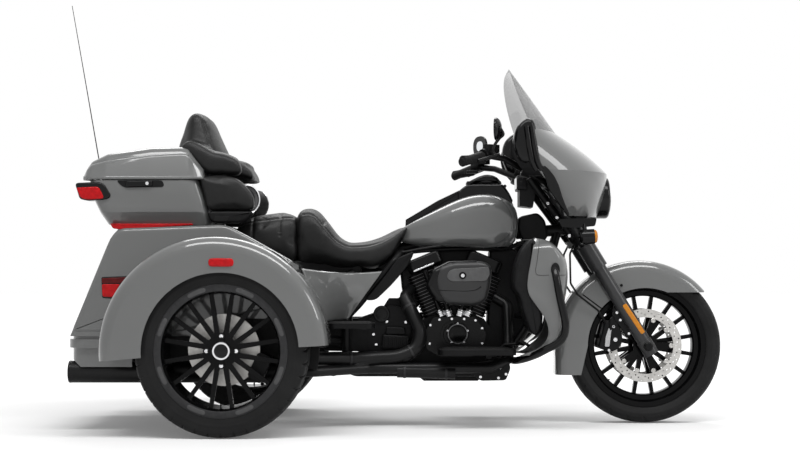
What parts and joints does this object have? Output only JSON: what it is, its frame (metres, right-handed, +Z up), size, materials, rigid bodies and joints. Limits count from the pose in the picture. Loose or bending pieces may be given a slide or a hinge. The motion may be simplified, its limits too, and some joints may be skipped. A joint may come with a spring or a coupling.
{
  "type": "motorized trike",
  "caption": "Touring trike with a fork-mounted fairing, finned V-twin engine, wide rear fenders, trunk body, luggage box and passenger backrest.",
  "frame": {"origin": "floor level, under the middle of the overall length and width", "axes": "+X forward, +Y to the rider's left, +Z up"},
  "size_m": [2.7498, 1.39, 1.7733],
  "materials": {
    "paint": "gloss grey paint",
    "tyre": "matt moulded rubber",
    "black_alloy": "gloss black coated cast alloy",
    "black_metal": "gloss black coated steel",
    "disc_steel": "ground steel",
    "leather": "stitched black covering",
    "black_plastic": "fine grained black moulding",
    "rubber": "moulded rubber",
    "smoke": "smoke tinted clear sheet",
    "lens": "clear lens over a bright bowl",
    "red_lens": "red lens in a black rim",
    "amber_lens": "amber lens in a black shell"
  },
  "bodies": {
    "chassis": {"air_cleaner": "black_alloy", "antenna": "black_plastic", "cam_cover": "black_alloy", "crankcase": "black_alloy", "cylinders": "black_alloy", "drive_belt": "rubber", "engine_guard": "black_metal", "exhaust_pipes": "black_metal", "foot_controls": "black_metal", "footboards": "black_metal", "fuel_tank": "paint", "gearbox": "black_alloy", "lower_fairings": "paint", "main_frame": "black_metal", "mufflers": "black_metal", "passenger_seat": "leather", "primary_cover": "black_alloy", "pushrod_tubes": "disc_steel", "radiators": "black_plastic", "rear_axle_housing": "black_metal", "rear_bumper": "paint", "rear_calipers": "black_alloy", "rear_fenders": "paint", "rear_lamps": "red_lens", "rear_shocks": "black_metal", "rider_seat": "leather", "rocker_covers": "black_alloy", "side_panels": "paint", "speaker_pods": "leather", "swingarm": "black_metal", "tank_console": "black_alloy", "tour_box": "paint", "trunk_body": "paint"},
    "fork": {"fork_legs": "black_alloy", "fork_yokes": "black_alloy", "front_fender": "paint", "front_calipers": "black_alloy", "fairing_outer": "paint", "fairing_inner": "black_plastic", "windshield": "smoke", "headlamp": "lens", "handlebar": "black_metal", "grips": "rubber", "hand_controls": "black_alloy", "mirrors": "black_alloy", "front_signals": "amber_lens", "brake_lines": "rubber"},
    "front_wheel_body": {"front_tyre": "tyre", "front_wheel": "black_alloy", "front_discs": "disc_steel"},
    "right_rear_wheel_body": {"right_rear_tyre": "tyre", "right_rear_wheel": "black_alloy", "right_rear_disc": "disc_steel"},
    "left_rear_wheel_body": {"left_rear_tyre": "tyre", "left_rear_wheel": "black_alloy", "left_rear_disc": "disc_steel"},
    "tour_lid_body": {"tour_box_lid": "paint", "backrest": "leather"},
    "trunk_door_body": {"trunk_door": "paint"},
    "fuel_door_body": {"fuel_door": "black_alloy"}
  },
  "joints": [
    {"name": "steering", "type": "hinge", "parent": "chassis", "child": "fork", "pos_m": [0.7892, 0, 0.75], "axis": [-0.4384, 0, 0.8988], "range_deg": [-32, 32]},
    {"name": "front_wheel_spin", "type": "hinge", "parent": "fork", "child": "front_wheel_body", "pos_m": [1.056, 0, 0.319], "axis": [0, 1, 0], "continuous": true},
    {"name": "right_rear_wheel_spin", "type": "hinge", "parent": "chassis", "child": "right_rear_wheel_body", "pos_m": [-0.614, -0.565, 0.325], "axis": [0, 1, 0], "continuous": true},
    {"name": "left_rear_wheel_spin", "type": "hinge", "parent": "chassis", "child": "left_rear_wheel_body", "pos_m": [-0.614, 0.565, 0.325], "axis": [0, 1, 0], "continuous": true},
    {"name": "tour_lid_hinge", "type": "hinge", "parent": "chassis", "child": "tour_lid_body", "pos_m": [-0.964, 0.306, 0.982], "axis": [-1, 0, 0], "range_deg": [0, 75]},
    {"name": "trunk_door_hinge", "type": "hinge", "parent": "chassis", "child": "trunk_door_body", "pos_m": [-1.21667, 0, 0.40613], "axis": [0, -1, 0], "range_deg": [0, 95]},
    {"name": "fuel_door_hinge", "type": "hinge", "parent": "chassis", "child": "fuel_door_body", "pos_m": [0.486, 0, 0.976], "axis": [0, 1, 0], "range_deg": [0, 80]}
  ]
}
